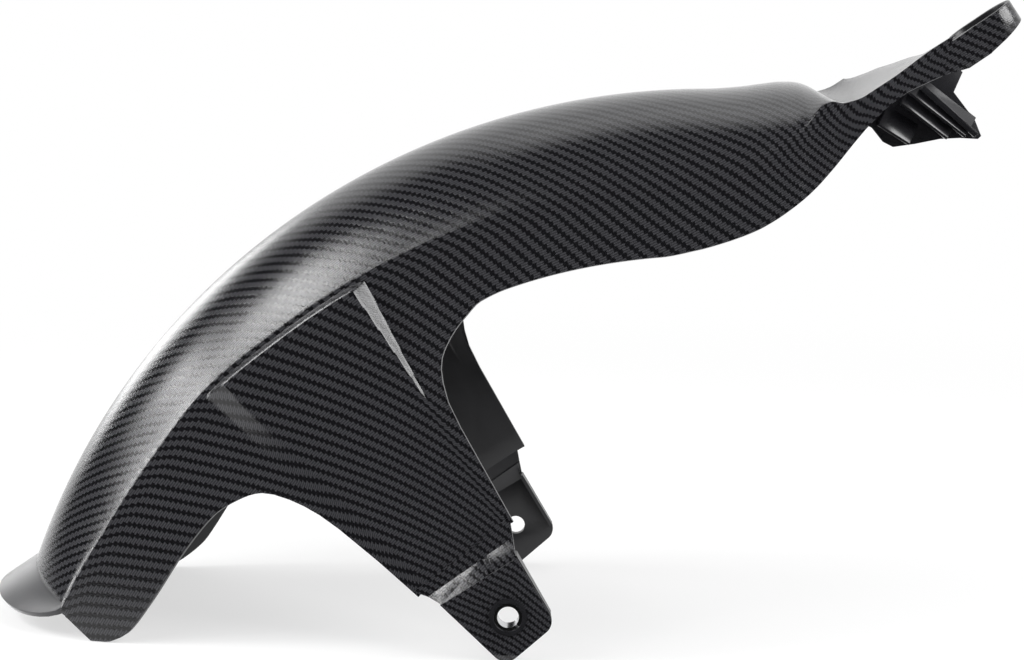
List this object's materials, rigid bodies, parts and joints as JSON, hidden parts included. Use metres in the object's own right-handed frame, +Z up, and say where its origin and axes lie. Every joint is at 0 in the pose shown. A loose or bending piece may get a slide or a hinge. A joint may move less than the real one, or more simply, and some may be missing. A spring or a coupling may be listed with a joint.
{
  "type": "motorcycle wheel fender",
  "caption": "Moulded motorcycle wheel fender with a bolt leg on each side, a turned lip at its closed end, and a carrier end with a cable loop and a ribbed wing.",
  "frame": {"origin": "on the floor, below the centre of the overall box, with the fender standing on its skirt flaps and bolt tabs", "axes": "+X along the wheel towards the carrier end with the cable loop, +Y towards the left-hand side with the ribbed wing, +Z up"},
  "size_m": [0.4909, 0.1844, 0.3034],
  "materials": {
    "shell": "twill print under gloss clear coat outside, plain satin black inside",
    "sleeve": "bright rolled steel"
  },
  "bodies": {
    "root": {"fender_shell": "shell", "tab_sleeve": "sleeve"}
  },
  "joints": []
}
